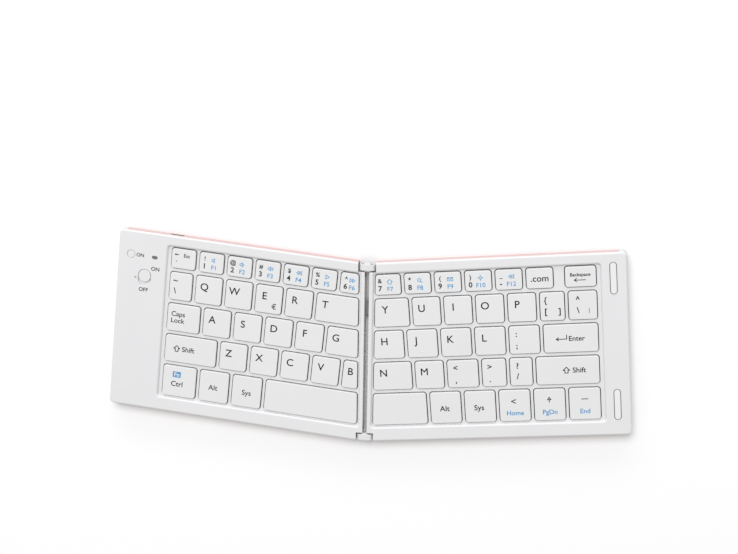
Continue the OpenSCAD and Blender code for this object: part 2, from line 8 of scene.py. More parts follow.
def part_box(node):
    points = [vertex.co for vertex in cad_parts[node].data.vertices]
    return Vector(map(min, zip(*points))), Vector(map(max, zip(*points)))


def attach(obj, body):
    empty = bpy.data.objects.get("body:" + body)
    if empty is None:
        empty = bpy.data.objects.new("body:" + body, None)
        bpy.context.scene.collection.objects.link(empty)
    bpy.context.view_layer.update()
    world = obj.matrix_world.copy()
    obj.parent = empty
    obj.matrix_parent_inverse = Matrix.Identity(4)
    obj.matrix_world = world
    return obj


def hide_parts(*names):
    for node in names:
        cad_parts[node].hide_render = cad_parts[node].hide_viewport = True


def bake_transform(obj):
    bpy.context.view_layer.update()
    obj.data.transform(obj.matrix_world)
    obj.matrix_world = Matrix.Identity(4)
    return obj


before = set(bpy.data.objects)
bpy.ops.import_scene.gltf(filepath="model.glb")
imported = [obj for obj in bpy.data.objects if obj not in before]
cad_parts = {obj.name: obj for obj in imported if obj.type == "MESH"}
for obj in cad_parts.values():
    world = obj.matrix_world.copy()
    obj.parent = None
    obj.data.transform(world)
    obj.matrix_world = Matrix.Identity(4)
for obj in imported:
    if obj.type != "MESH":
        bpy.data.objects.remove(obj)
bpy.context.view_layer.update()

# ---------------------------------------------------------------------------
# Camera: nearly overhead, a little behind and to the right of the middle,
# turned so that the two halves lean evenly to either side.
# ---------------------------------------------------------------------------
focal_length = 63.55
camera_place = (0.08309, 0.22084, 0.67714)
camera_tilts = (-15.124, 7.246, 0.961)
lens = bpy.data.cameras.new("camera")
lens.lens = focal_length
lens.clip_start = 0.01
camera = bpy.data.objects.new("camera", lens)
camera.location = camera_place
camera.rotation_euler = [math.radians(a) for a in camera_tilts]
bpy.context.scene.collection.objects.link(camera)
bpy.context.scene.camera = camera

# ---------------------------------------------------------------------------
# Studio: a plain white table top, an even pale sky and two softboxes behind
# the keyboard, one broad and high and one low, whose shadow falls to the front.
# ---------------------------------------------------------------------------
table_size = 4.0
table_drop = 0.00002
table_as_lit = (0.62, 0.62, 0.62, 1)
table_as_seen = (0.96, 0.96, 0.96, 1)
sky_strength = 0.59
bm = bmesh.new()
bmesh.ops.create_grid(bm, x_segments=1, y_segments=1, size=table_size / 2)
bmesh.ops.translate(bm, verts=bm.verts, vec=(0, 0, -table_drop))
mesh = bpy.data.meshes.new("table_top")
bm.to_mesh(mesh)
bm.free()
table_top = bpy.data.objects.new("table_top", mesh)
bpy.context.scene.collection.objects.link(table_top)

paper = bpy.data.materials.new("white_table")
paper.use_nodes = True
nodes, links = paper.node_tree.nodes, paper.node_tree.links
shader = nodes["Principled BSDF"]
shader.inputs["Roughness"].default_value = 0.9
shader.inputs["Specular IOR Level"].default_value = 0.1
# what the eye and the gloss see of the table is brighter than what lights the keys
seen = nodes.new("ShaderNodeLightPath")
tone = nodes.new("ShaderNodeMix")
tone.data_type = "RGBA"
tone.inputs["A"].default_value = table_as_lit
tone.inputs["B"].default_value = table_as_seen
direct = seen.outputs["Is Camera Ray"]
for way in ("Is Glossy Ray", "Is Transmission Ray"):
    either = nodes.new("ShaderNodeMath")
    either.operation = "MAXIMUM"
    links.new(direct, either.inputs[0])
    links.new(seen.outputs[way], either.inputs[1])
    direct = either.outputs[0]
links.new(direct, tone.inputs["Factor"])
links.new(tone.outputs["Result"], shader.inputs["Base Color"])
mesh.materials.append(paper)

sky = bpy.data.worlds.new("pale_sky")
sky.use_nodes = True
sky.node_tree.nodes["Background"].inputs["Color"].default_value = (1, 1, 1, 1)
sky.node_tree.nodes["Background"].inputs["Strength"].default_value = sky_strength
bpy.context.scene.world = sky


def add_softbox(name, place, wide, tall, watts):
    """A white softbox that faces the middle of the keyboard."""
    light = bpy.data.lights.new(name, "AREA")
    light.shape = "RECTANGLE"
    light.size = wide
    light.size_y = tall
    light.energy = watts
    lamp = bpy.data.objects.new(name, light)
    lamp.location = place
    lamp.rotation_euler = Vector(place).to_track_quat("Z", "Y").to_euler()
    bpy.context.scene.collection.objects.link(lamp)


add_softbox("softbox_high", (-0.4, 1.8, 2.5), 1.9, 1.4, 54.5)
add_softbox("softbox_low", (-0.1, 1.4, 0.42), 1.6, 0.35, 5.6)

bpy.context.scene.view_settings.view_transform = "Standard"

# ---------------------------------------------------------------------------
# Back covers: one pressed channel of anodised sheet for each half, rounded
# along both long edges and blasted to a fine even satin, tinted pale pink.
# ---------------------------------------------------------------------------
cover_pink = (0.74, 0.53, 0.52)
handled_pink = (0.715, 0.50, 0.49)
cover_edge_round = 0.00018
same_point = 0.000001
flat_angle = math.radians(0.5)
smooth_angle = math.radians(28)
corner_angle = math.radians(60)


def merged_copy(node):
    """A node's plain solid with its corners joined and its flat faces whole."""
    bm = bmesh.new()
    bm.from_mesh(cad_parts[node].data)
    bmesh.ops.remove_doubles(bm, verts=bm.verts, dist=same_point)
    bmesh.ops.dissolve_limit(bm, angle_limit=flat_angle, verts=bm.verts, edges=bm.edges)
    return bm


def soften(bm, edges, width, steps):
    """Rounds the given edges, as a mould or a polishing wheel leaves them."""
    bmesh.ops.bevel(
        bm,
        geom=edges,
        offset=width,
        offset_type="OFFSET",
        segments=steps,
        profile=0.5,
        affect="EDGES",
        clamp_overlap=False,
        material=-1,
    )


def sharp_edges(bm, test=None):
    """Edges with a clear corner that also pass the test."""
    found = []
    for e in bm.edges:
        if len(e.link_faces) != 2 or e.calc_face_angle(0) < corner_angle:
            continue
        if test is None or test(e):
            found.append(e)
    return found


def finished(name, bm, body, materials, stands_for=()):
    """Turns a bmesh into a piece that rides on its body."""
    mesh = bpy.data.meshes.new(name)
    bm.to_mesh(mesh)
    bm.free()
    mesh.shade_smooth()
    mesh.set_sharp_from_angle(angle=smooth_angle)
    for m in materials:
        mesh.materials.append(m)
    piece = bpy.data.objects.new(name, mesh)
    bpy.context.scene.collection.objects.link(piece)
    flat = piece.modifiers.new("flat_faces_stay_flat", "WEIGHTED_NORMAL")
    flat.keep_sharp = True
    if body:
        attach(piece, body)
    if stands_for:
        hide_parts(*stands_for)
    return piece


def rounded_copy(name, node, body, finishes, width, steps):
    """A node's solid with its sharp corners rounded, as a piece in its place."""
    bm = merged_copy(node)
    soften(bm, sharp_edges(bm), width, steps)
    return finished(name, bm, body, finishes, [node])


def group_socket(group, name, kind, way, value=None):
    """One named socket on a shader node group."""
    socket = group.interface.new_socket(name=name, in_out=way, socket_type=kind)
    if value is not None:
        socket.default_value = value


def build_surface_grain():
    """Fine moulded or blasted grain: a height and a slightly uneven gloss."""
    group = bpy.data.node_groups.new("surface_grain", "ShaderNodeTree")
    group_socket(group, "Grain Size", "NodeSocketFloat", "INPUT", 0.0003)
    group_socket(group, "Roughness", "NodeSocketFloat", "INPUT", 0.4)
    group_socket(group, "Unevenness", "NodeSocketFloat", "INPUT", 0.08)
    group_socket(group, "Roughness", "NodeSocketFloat", "OUTPUT")
    group_socket(group, "Height", "NodeSocketFloat", "OUTPUT")
    nodes, links = group.nodes, group.links
    given = nodes.new("NodeGroupInput")
    result = nodes.new("NodeGroupOutput")
    coords = nodes.new("ShaderNodeTexCoord")
    per_metre = nodes.new("ShaderNodeMath")
    per_metre.operation = "DIVIDE"
    per_metre.inputs[0].default_value = 1.0
    links.new(given.outputs["Grain Size"], per_metre.inputs[1])
    grain = nodes.new("ShaderNodeTexNoise")
    grain.inputs["Detail"].default_value = 2.0
    grain.inputs["Roughness"].default_value = 0.6
    links.new(coords.outputs["Object"], grain.inputs["Vector"])
    links.new(per_metre.outputs[0], grain.inputs["Scale"])
    clouds = nodes.new("ShaderNodeTexNoise")
    clouds.inputs["Scale"].default_value = 45.0
    clouds.inputs["Detail"].default_value = 3.0
    links.new(coords.outputs["Object"], clouds.inputs["Vector"])
    centred = nodes.new("ShaderNodeMath")
    centred.operation = "SUBTRACT"
    centred.inputs[1].default_value = 0.5
    links.new(clouds.outputs["Fac"], centred.inputs[0])
    spread = nodes.new("ShaderNodeMath")
    spread.operation = "MULTIPLY_ADD"
    links.new(centred.outputs[0], spread.inputs[0])
    links.new(given.outputs["Unevenness"], spread.inputs[1])
    links.new(given.outputs["Roughness"], spread.inputs[2])
    links.new(spread.outputs[0], result.inputs["Roughness"])
    links.new(grain.outputs["Fac"], result.inputs["Height"])
    return group


surface_grain = build_surface_grain()


def build_handling():
    """Faint greying where fingers and bags rub, as a colour between two."""
    group = bpy.data.node_groups.new("handling_tone", "ShaderNodeTree")
    group_socket(group, "Clean Color", "NodeSocketColor", "INPUT", (0.8, 0.8, 0.8, 1))
    group_socket(group, "Handled Color", "NodeSocketColor", "INPUT", (0.7, 0.7, 0.7, 1))
    group_socket(group, "Amount", "NodeSocketFloat", "INPUT", 0.3)
    group_socket(group, "Color", "NodeSocketColor", "OUTPUT")
    nodes, links = group.nodes, group.links
    given = nodes.new("NodeGroupInput")
    result = nodes.new("NodeGroupOutput")
    coords = nodes.new("ShaderNodeTexCoord")
    patches = nodes.new("ShaderNodeTexNoise")
    patches.inputs["Scale"].default_value = 28.0
    patches.inputs["Detail"].default_value = 4.0
    links.new(coords.outputs["Object"], patches.inputs["Vector"])
    ramp = nodes.new("ShaderNodeMapRange")
    ramp.inputs["From Min"].default_value = 0.42
    ramp.inputs["From Max"].default_value = 0.75
    links.new(patches.outputs["Fac"], ramp.inputs["Value"])
    amount = nodes.new("ShaderNodeMath")
    amount.operation = "MULTIPLY"
    links.new(ramp.outputs["Result"], amount.inputs[0])
    links.new(given.outputs["Amount"], amount.inputs[1])
    mix = nodes.new("ShaderNodeMix")
    mix.data_type = "RGBA"
    links.new(amount.outputs[0], mix.inputs["Factor"])
    links.new(given.outputs["Clean Color"], mix.inputs["A"])
    links.new(given.outputs["Handled Color"], mix.inputs["B"])
    links.new(mix.outputs["Result"], result.inputs["Color"])
    return group


handling_tone = build_handling()


def make_material(
    name,
    color,
    handled=None,
    roughness=0.4,
    uneven=0.08,
    grain=0.0003,
    depth=0.000004,
    metallic=0.0,
    specular=0.5,
    coat=0.0,
    coat_roughness=0.05,
):
    """A finish with its own grain, uneven gloss and faint handling marks."""
    material = bpy.data.materials.new(name)
    material.use_nodes = True
    nodes, links = material.node_tree.nodes, material.node_tree.links
    shader = nodes["Principled BSDF"]
    shader.inputs["Metallic"].default_value = metallic
    shader.inputs["Specular IOR Level"].default_value = specular
    shader.inputs["Coat Weight"].default_value = coat
    shader.inputs["Coat Roughness"].default_value = coat_roughness
    tone = nodes.new("ShaderNodeGroup")
    tone.node_tree = handling_tone
    tone.inputs["Clean Color"].default_value = (*color, 1)
    darker = handled or tuple(c * 0.93 for c in color)
    tone.inputs["Handled Color"].default_value = (*darker, 1)
    links.new(tone.outputs["Color"], shader.inputs["Base Color"])
    skin = nodes.new("ShaderNodeGroup")
    skin.node_tree = surface_grain
    skin.inputs["Grain Size"].default_value = grain
    skin.inputs["Roughness"].default_value = roughness
    skin.inputs["Unevenness"].default_value = uneven
    links.new(skin.outputs["Roughness"], shader.inputs["Roughness"])
    bump = nodes.new("ShaderNodeBump")
    bump.inputs["Distance"].default_value = depth
    links.new(skin.outputs["Height"], bump.inputs["Height"])
    links.new(bump.outputs["Normal"], shader.inputs["Normal"])
    return material


anodised_pink = make_material(
    "anodised_pink",
    cover_pink,
    handled=handled_pink,
    roughness=0.5,
    uneven=0.06,
    grain=0.00016,
    depth=0.000006,
    metallic=0.25,
    coat=0.2,
    coat_roughness=0.4,
)
for side in ("left", "right"):
    rounded_copy(
        side + "_metal_channel",
        side + "_back_cover",
        side + "_half",
        [anodised_pink],
        cover_edge_round,
        2,
    )

# ---------------------------------------------------------------------------
# Top frames: one white moulding for each half, with the key windows, the
# soft-edged recess round the keys and the outer block. Painted shade: the walls
# in the gaps round the keys, in the link notches and in the pad seats are near-black.
# ---------------------------------------------------------------------------
frame_white = (0.755, 0.755, 0.765)
# painted shade: a near-black for the walls in the gaps round the keys, the notches and the pad
# seats
painted_shade_grey = (0.03, 0.03, 0.031)
lean = math.radians(5.5)
field_edge = 0.0028
web_depth = 0.0015
recess_round = 0.0013
recess_steps = 6
rim_round = 0.0002
window_round = 0.00012
corner_round = 0.0025
edge_round = 0.0012
corner_steps = 8
# painted shade, near-black where shade falls in the gaps: it starts below the
# web's face, leaves the walls beside the groove white, goes down the notches of
# the links, which reach so far to either side, and stops short of the end
shade_below_web = 0.0002
unshaded_by_groove = 0.0014
shade_below_notch_face = 0.0007
notch_reach = 0.0049
unshaded_at_end = 0.004
near = 0.00002
on_plane = 0.0000001
face_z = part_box("left_top_frame")[1][2]
web_z = face_z - web_depth
white_moulding = make_material(
    "white_moulding", frame_white, roughness=0.45, uneven=0.1, grain=0.00035
)
# the painted shade's material, for walls where shade falls in the gaps
bare_moulding = make_material("bare_moulding", painted_shade_grey, roughness=0.55, grain=0.0004)


def at_height(edge, z):
    """Whether an edge lies level at that height."""
    return all(abs(v.co.z - z) < near for v in edge.verts)


def row_frame(side):
    """Turns row coordinates (along the keys, across them) into the model's."""
    return Matrix.Rotation(-lean if side == "left" else lean, 4, "Z")


def half_of(node):
    """The half whose frame a keycap node slides in."""
    low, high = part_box(node)
    return "left" if low[0] + high[0] < 0 else "right"


key_nodes = sorted(
    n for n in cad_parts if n.startswith("key_") or n.endswith("_keys")
)


def field_box(side):
    """Where the keys of a half lie, in its row coordinates."""
    back = row_frame(side).inverted()
    spots = [
        back @ v.co
        for n in key_nodes
        if half_of(n) == side
        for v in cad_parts[n].data.vertices
    ]
    return (
        min(p.x for p in spots) - field_edge,
        min(p.y for p in spots) - field_edge,
        max(p.x for p in spots) + field_edge,
        max(p.y for p in spots) + field_edge,
    )


def longest_loop(edges):
    """Of the given edges, those of the longest joined run."""
    left, best = set(edges), []
    for first in edges:
        if first not in left:
            continue
        left.remove(first)
        run, todo = [], [first]
        while todo:
            e = todo.pop()
            run.append(e)
            for n in [n for v in e.verts for n in v.link_edges]:
                if n in left:
                    left.remove(n)
                    todo.append(n)
        if sum(e.calc_length() for e in run) > sum(e.calc_length() for e in best):
            best = run
    return best


def flared_cutter(outline, radius, steps):
    """A plug for the recess whose flank turns outward in a quarter round."""
    lift = 0.001
    clear_of_wall = 0.00003
    plug = bmesh.new()
    made = {v: plug.verts.new(v.co) for e in outline for v in e.verts}
    for e in outline:
        plug.edges.new([made[v] for v in e.verts])
    floor = bmesh.ops.contextual_create(plug, geom=list(plug.edges))["faces"]
    bmesh.ops.recalc_face_normals(plug, faces=floor)
    if floor[0].normal.z < 0:
        bmesh.ops.reverse_faces(plug, faces=floor)
    ring = bmesh.ops.inset_region(
        plug,
        faces=floor,
        thickness=-radius,
        use_boundary=True,
        use_even_offset=True,
    )["faces"]
    bmesh.ops.delete(plug, geom=ring, context="FACES")
    bmesh.ops.translate(plug, verts=plug.verts, vec=(0, 0, lift))
    levels = [(0.0, lift)]
    for i in range(1, steps + 1):
        before, now = (math.radians(90 * k / steps) for k in (i - 1, i))
        levels.append(
            (
                radius * (math.sin(now) - math.sin(before)),
                radius * (math.cos(before) - math.cos(now)),
            )
        )
    levels[-1] = (levels[-1][0] + clear_of_wall, levels[-1][1])
    face = list(plug.faces)
    for inward, down in levels:
        bmesh.ops.inset_region(
            plug,
            faces=face,
            thickness=inward,
            depth=-down,
            use_boundary=True,
            use_even_offset=True,
        )
    rim = [e for e in plug.edges if e.is_boundary]
    bmesh.ops.holes_fill(plug, edges=rim)
    bmesh.ops.recalc_face_normals(plug, faces=plug.faces)
    return plug


def cut_away(piece, plug):
    """Cuts the plug out of a piece and drops the plug."""
    mesh = bpy.data.meshes.new("plug")
    plug.to_mesh(mesh)
    plug.free()
    cutter = bpy.data.objects.new("plug", mesh)
    bpy.context.scene.collection.objects.link(cutter)
    cut = piece.modifiers.new("recess", "BOOLEAN")
    cut.operation = "DIFFERENCE"
    cut.solver = "EXACT"
    cut.object = cutter
    graph = bpy.context.evaluated_depsgraph_get()
    result = bpy.data.meshes.new_from_object(piece.evaluated_get(graph))
    piece.modifiers.clear()
    old = piece.data
    piece.data = result
    bpy.data.objects.remove(cutter)
    bpy.data.meshes.remove(mesh)
    bpy.data.meshes.remove(old)


def carry_round_corners(bm, side):
    """Carries the rounding of the top edges smoothly round the outer corners."""
    back = row_frame(side).inverted()
    spots = [back @ v.co for v in bm.verts]
    out = 1 if side == "right" else -1
    end = max(out * p.x for p in spots)
    for way in (-1, 1):
        rear = max(way * p.y for p in spots)
        hub = Vector((out * (end - corner_round), way * (rear - corner_round), 0))

        def beyond_hub(point):
            """How far a point lies past the corner's hub, both ways."""
            p = back @ point - hub
            return Vector((out * p.x, way * p.y))

        def in_corner(face):
            """Whether a face reaches into the corner."""
            return any(
                min(beyond_hub(v.co)) > near and v.co.z > face_z - edge_round - near
                for v in face.verts
            )

        def slice_corner(spot, across):
            """Cuts the faces of the corner along a plane."""
            faces = [f for f in bm.faces if in_corner(f)]
            edges = dict.fromkeys(e for f in faces for e in f.edges)
            verts = dict.fromkeys(v for f in faces for v in f.verts)
            bmesh.ops.bisect_plane(
                bm,
                geom=[*verts, *edges, *faces],
                plane_co=row_frame(side) @ spot,
                plane_no=row_frame(side) @ across,
                dist=on_plane,
            )

        # the corner is cut out first, then sliced like a cake and in layers
        for step in (0, corner_steps, *range(1, corner_steps)):
            angle = math.radians(90 * step / corner_steps)
            slice_corner(
                hub, Vector((-out * math.sin(angle), way * math.cos(angle), 0))
            )
        for step in range(corner_steps):
            rise = edge_round * math.sin(math.radians(90 * step / corner_steps))
            slice_corner(Vector((0, 0, face_z - edge_round + rise)), Vector((0, 0, 1)))
        for v in bm.verts:
            past = beyond_hub(v.co)
            rise = v.co.z - (face_z - edge_round)
            if rise <= 0 or min(past) < -near:
                continue
            drop_back = edge_round - math.sqrt(max(edge_round**2 - rise**2, 0))
            reach = corner_round - drop_back
            if past.length > reach:
                past *= reach / past.length
                spot = hub + Vector((out * past.x, way * past.y, 0))
                v.co.xy = (row_frame(side) @ spot).xy


for side in ("left", "right"):
    bm = merged_copy(side + "_top_frame")
    carry_round_corners(bm, side)
    back = row_frame(side).inverted()
    x0, y0, x1, y1 = field_box(side)
    end_x = max((back @ v.co).x for v in bm.verts)

    def in_field(p):
        """Whether a point lies over the key field."""
        p = back @ p
        return x0 < p.x < x1 and y0 < p.y < y1

    def by_field(e):
        """Whether an edge runs round the key field."""
        return in_field((e.verts[0].co + e.verts[1].co) / 2)

    rim = longest_loop(sharp_edges(bm, lambda e: at_height(e, face_z) and by_field(e)))
    plug = flared_cutter(rim, recess_round, recess_steps)
    soften(bm, sharp_edges(bm, lambda e: at_height(e, web_z)), window_round, 2)
    top_edges = sharp_edges(bm, lambda e: at_height(e, face_z) and e not in rim)
    soften(bm, top_edges, rim_round, 2)
    # painted shade: walls inside the windows, round the hinge links and in the
    # seats of the pads get the near-black that stands in for the shade there
    for f in bm.faces:
        p = f.calc_center_median()
        along, across = (back @ p).xy
        below_web = p.z < web_z - shade_below_web
        in_window = below_web and in_field(p) and abs(p.x) > unshaded_by_groove
        by_links = abs(p.x) < notch_reach and not y0 < across < y1
        in_notch = by_links and p.z < face_z - shade_below_notch_face
        by_pads = side == "right" and x1 < along < end_x - unshaded_at_end
        in_pad_seat = by_pads and p.z < face_z - near
        if in_window or in_notch or in_pad_seat:
            f.material_index = 1
    white = finished(
        side + "_white_frame",
        bm,
        side + "_half",
        [white_moulding, bare_moulding],
        [side + "_top_frame"],
    )
    cut_away(white, plug)
    white.data.shade_smooth()
    white.data.set_sharp_from_angle(angle=smooth_angle)
    white.modifiers.new("flat_faces_stay_flat", "WEIGHTED_NORMAL").keep_sharp = True

# ---------------------------------------------------------------------------
# Keycaps: low flat caps of moulded white plastic over rubber domes, each
# rounded along its top edge. F and J carry a small raised bar to feel for.
# ---------------------------------------------------------------------------
cap_white = (0.76, 0.76, 0.765)
cap_round = 0.00035
skirt_height = 0.0027
# a pressed cap's skirt stays clear of the rubber domes
skirt_lift = 0.0002
bar_size = (0.0032, 0.0005, 0.00022)
bar_round = 0.00009
bar_left = 0.0004
bar_front = 0.0030
facing_up = 0.9
cap_plastic = make_material(
    "cap_plastic", cap_white, roughness=0.42, uneven=0.12, grain=0.00028
)
cap_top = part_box("key_q")[1][2]
skirt_z = cap_top - skirt_height
cap_boxes = {}


def middle_of(box):
    """The middle of a cap."""
    return ((box[0] + box[2]) / 2, (box[1] + box[3]) / 2)


for node in key_nodes:
    side = half_of(node)
    bm = merged_copy(node)
    for v in bm.verts:
        if abs(v.co.z - skirt_z) < near:
            v.co.z += skirt_lift
    back = row_frame(side).inverted()
    boxes = []
    for f in bm.faces:
        if f.normal.z <= facing_up or f.calc_center_median().z <= cap_top - near:
            continue
        flat = [back @ v.co for v in f.verts]
        xs = [p.x for p in flat]
        ys = [p.y for p in flat]
        boxes.append((min(xs), min(ys), max(xs), max(ys)))
    # from the left of the rear row to the right of the front row
    cap_boxes[node] = sorted(boxes, key=lambda b: (-round(b[3], 3), b[0]))
    soften(bm, sharp_edges(bm, lambda e: at_height(e, cap_top)), cap_round, 3)
    finished(node.replace("key_", "cap_"), bm, node, [cap_plastic], [node])

for node in ("key_f", "key_j"):
    box = cap_boxes[node][0]
    x, y = middle_of(box)
    shape = (
        row_frame(half_of(node))
        @ Matrix.Translation((x - bar_left, box[1] + bar_front, cap_top))
        @ Matrix.Diagonal((*bar_size, 1))
    )
    bm = bmesh.new()
    bmesh.ops.create_cube(bm, size=1.0, matrix=shape)
    soften(bm, list(bm.edges), bar_round, 2)
    finished(node.replace("key_", "finger_bar_"), bm, node, [cap_plastic])

# ---------------------------------------------------------------------------
# Legends: plain letters, digits and key names printed on the caps in a thin
# film of near-black ink, with the second functions in blue.
# ---------------------------------------------------------------------------
print_thickness = 0.000012
print_lift = 0.000004
cap_height_share = 0.69
legend_z = cap_top + print_lift
ink_film = dict(roughness=0.5, grain=0.0002, depth=0.000001)
dark_ink = make_material("dark_ink", (0.01, 0.01, 0.012), specular=0.2, **ink_film)
blue_ink = make_material("blue_ink", (0.045, 0.28, 0.56), **ink_film)
grey_ink = make_material("grey_ink", (0.03, 0.03, 0.033), **ink_film)
pale_ink = make_material("pale_ink", cap_white, **ink_film)
inks = [dark_ink, blue_ink, grey_ink, pale_ink]
DARK, BLUE, GREY, PALE = range(4)


def print_words(bm, words, spot, height, turn, ink, bold=0.0, z=legend_z):
    """Prints words with capitals that high, their middle height on the spot."""
    curve = bpy.data.curves.new("words", "FONT")
    curve.body = words
    curve.size = height / cap_height_share
    curve.align_x = "CENTER"
    curve.extrude = print_thickness / 2
    curve.offset = bold
    curve.resolution_u = 4
    holder = bpy.data.objects.new("words", curve)
    mesh = bpy.data.meshes.new_from_object(holder)
    before = len(bm.faces)
    mesh.transform(turn @ Matrix.Translation((spot[0], spot[1] - height / 2, z)))
    bm.from_mesh(mesh)
    bpy.data.objects.remove(holder)
    bpy.data.curves.remove(curve)
    bpy.data.meshes.remove(mesh)
    bm.faces.ensure_lookup_table()
    for f in bm.faces[before:]:
        f.material_index = ink


def print_patch(bm, spot, size, turn, ink, tilt=0.0, z=legend_z):
    """Prints a filled rectangle with its middle on the spot."""
    shape = (
        turn
        @ Matrix.Translation((spot[0], spot[1], z))
        @ Matrix.Rotation(tilt, 4, "Z")
        @ Matrix.Diagonal((size[0], size[1], print_thickness, 1))
    )
    made = bmesh.ops.create_cube(bm, size=1.0, matrix=shape)
    for f in {f for v in made["verts"] for f in v.link_faces}:
        f.material_index = ink


def print_icon(bm, paths, spot, size, line, turn, ink, z=legend_z):
    """Prints line paths drawn on a unit square, its middle on the spot."""
    stroke_lift = 0.0000007
    for path in paths:
        dots = [
            Vector((spot[0] + (x - 0.5) * size, spot[1] + (y - 0.5) * size))
            for x, y in path
        ]
        for i, (a, b) in enumerate(zip(dots, dots[1:])):
            run = b - a
            # each stroke lies a hair above the one before, so that ends cross cleanly
            print_patch(
                bm,
                (a + b) / 2,
                (run.length + line, line),
                turn,
                ink,
                math.atan2(run.y, run.x),
                z + stroke_lift * i,
            )


def ring_path(middle, radius):
    """A closed many-sided ring on the unit square."""
    sides = 10
    angles = [2 * math.pi * i / sides for i in range(sides + 1)]
    return [
        (middle[0] + radius * math.cos(a), middle[1] + radius * math.sin(a))
        for a in angles
    ]


SHIFT_ARROW = [
    [(0.5, 0.95), (0.05, 0.5), (0.28, 0.5), (0.28, 0.08), (0.72, 0.08)],
    [(0.72, 0.08), (0.72, 0.5), (0.95, 0.5), (0.5, 0.95)],
]
RETURN_ARROW = [
    [(1.0, 0.85), (1.0, 0.45), (0.0, 0.45)],
    [(0.2, 0.6), (0.0, 0.45), (0.2, 0.3)],
]
LEFT_ARROW = [[(1.0, 0.5), (0.0, 0.5)], [(0.2, 0.65), (0.0, 0.5), (0.2, 0.35)]]
UP_ARROW = [
    [(0.5, 1.0), (0.2, 0.55), (0.8, 0.55), (0.5, 1.0)],
    [(0.5, 0.55), (0.5, 0.1)],
]
CONE = [(0.25, 0.65), (0.5, 0.9), (0.5, 0.1), (0.25, 0.35)]
SPEAKER = [[(0.0, 0.35), (0.0, 0.65), *CONE, (0.0, 0.35)]]
SOFT = SPEAKER + [[(0.68, 0.35), (0.74, 0.5), (0.68, 0.65)]]
LOUD = SOFT + [[(0.86, 0.22), (0.95, 0.5), (0.86, 0.78)]]
NEXT = [
    [(0.0, 0.15), (0.0, 0.85), (0.45, 0.5), (0.0, 0.15)],
    [(0.5, 0.15), (0.5, 0.85), (0.95, 0.5), (0.5, 0.15)],
]
BACK = [[(1 - x, y) for x, y in path] for path in NEXT]
PLAY = [[(0.2, 0.1), (0.2, 0.9), (0.85, 0.5), (0.2, 0.1)]]
FIND = [ring_path((0.42, 0.58), 0.3), [(0.65, 0.35), (0.95, 0.05)]]
HOUSE = [
    [(0.0, 0.5), (0.5, 0.95), (1.0, 0.5)],
    [(0.2, 0.5), (0.2, 0.08), (0.8, 0.08), (0.8, 0.5)],
]
BRIGHT = [
    ring_path((0.5, 0.5), 0.24),
    [(0.5, 0.85), (0.5, 1.0)],
    [(0.5, 0.0), (0.5, 0.15)],
    [(0.0, 0.5), (0.15, 0.5)],
    [(0.85, 0.5), (1.0, 0.5)],
]
LETTER = [
    [(0.0, 0.2), (0.0, 0.8), (1.0, 0.8), (1.0, 0.2), (0.0, 0.2)],
    [(0.0, 0.8), (0.5, 0.42), (1.0, 0.8)],
]

# a letter stands so far forward and right of its cap's left rear corner
letter_height = 0.0040
letter_front = 0.0057
letter_right = {"key_b": 0.0040, "key_y": 0.0063, "key_h": 0.0063, "key_n": 0.0062}
usual_right = 0.0048
word_height = 0.0027
shift_height = 0.0028
sign_height = 0.0031
shifted_height = 0.0023
digit_height = 0.0028
name_height = 0.0024
icon_size = 0.0029
stroke = 0.00045
icon_stroke = 0.00034
arrow_stroke = 0.0004
shift_arrow = 0.0038
# how far the outlines of each kind of print are swelled
name_bold = 0.00004
light_bold = 0.00005
word_bold = 0.00006
small_bold = 0.00008
sign_bold = 0.00009
digit_bold = 0.0001
# the narrow joints of an M can't be thickened, so it is struck twice
strike_shift = 0.00011
strike_lift = 0.000001
over_patch = 0.000008
# digit, shifted sign, blue icon and function, outward to the hinge on the left
LEFT_DIGITS = [
    ("1", "!", SPEAKER, "F1"),
    ("2", "@", SOFT, "F2"),
    ("3", "#", LOUD, "F3"),
    ("4", "$", BACK, "F4"),
    ("5", "%", PLAY, "F5"),
    ("6", "^", NEXT, "F6"),
]
RIGHT_DIGITS = [
    ("7", "&", HOUSE, "F7"),
    ("8", "*", FIND, "F8"),
    ("9", "(", LETTER, "F9"),
    ("0", ")", BRIGHT, "F10"),
    ("-", "_", BACK, "F12"),
]


def from_corner(box, right, front):
    """A spot so far right and forward of a cap's left rear corner."""
    return (box[0] + right, box[3] - front)


def print_digit(bm, box, turn, digit, sign, icon, function):
    """A digit under its sign, and a blue icon over its function."""
    right = min(0.0082, 0.63 * (box[2] - box[0]))
    sign_spot = from_corner(box, 0.0029, 0.0032)
    digit_spot = from_corner(box, 0.0028, 0.0074)
    icon_spot = from_corner(box, right, 0.0038)
    name_spot = from_corner(box, right, 0.0078)
    print_words(bm, sign, sign_spot, shifted_height, turn, DARK, small_bold)
    print_words(bm, digit, digit_spot, digit_height, turn, DARK, digit_bold)
    print_icon(bm, icon, icon_spot, icon_size, icon_stroke, turn, BLUE)
    print_words(bm, function, name_spot, name_height, turn, BLUE, name_bold)


def print_pair(bm, box, turn, right, upper, lower, front):
    """Two signs, one over the other, at the left of a cap."""
    for sign, down in ((upper, 0.0041), (lower, front)):
        spot = from_corner(box, right, down)
        print_words(bm, sign, spot, sign_height, turn, DARK, sign_bold)


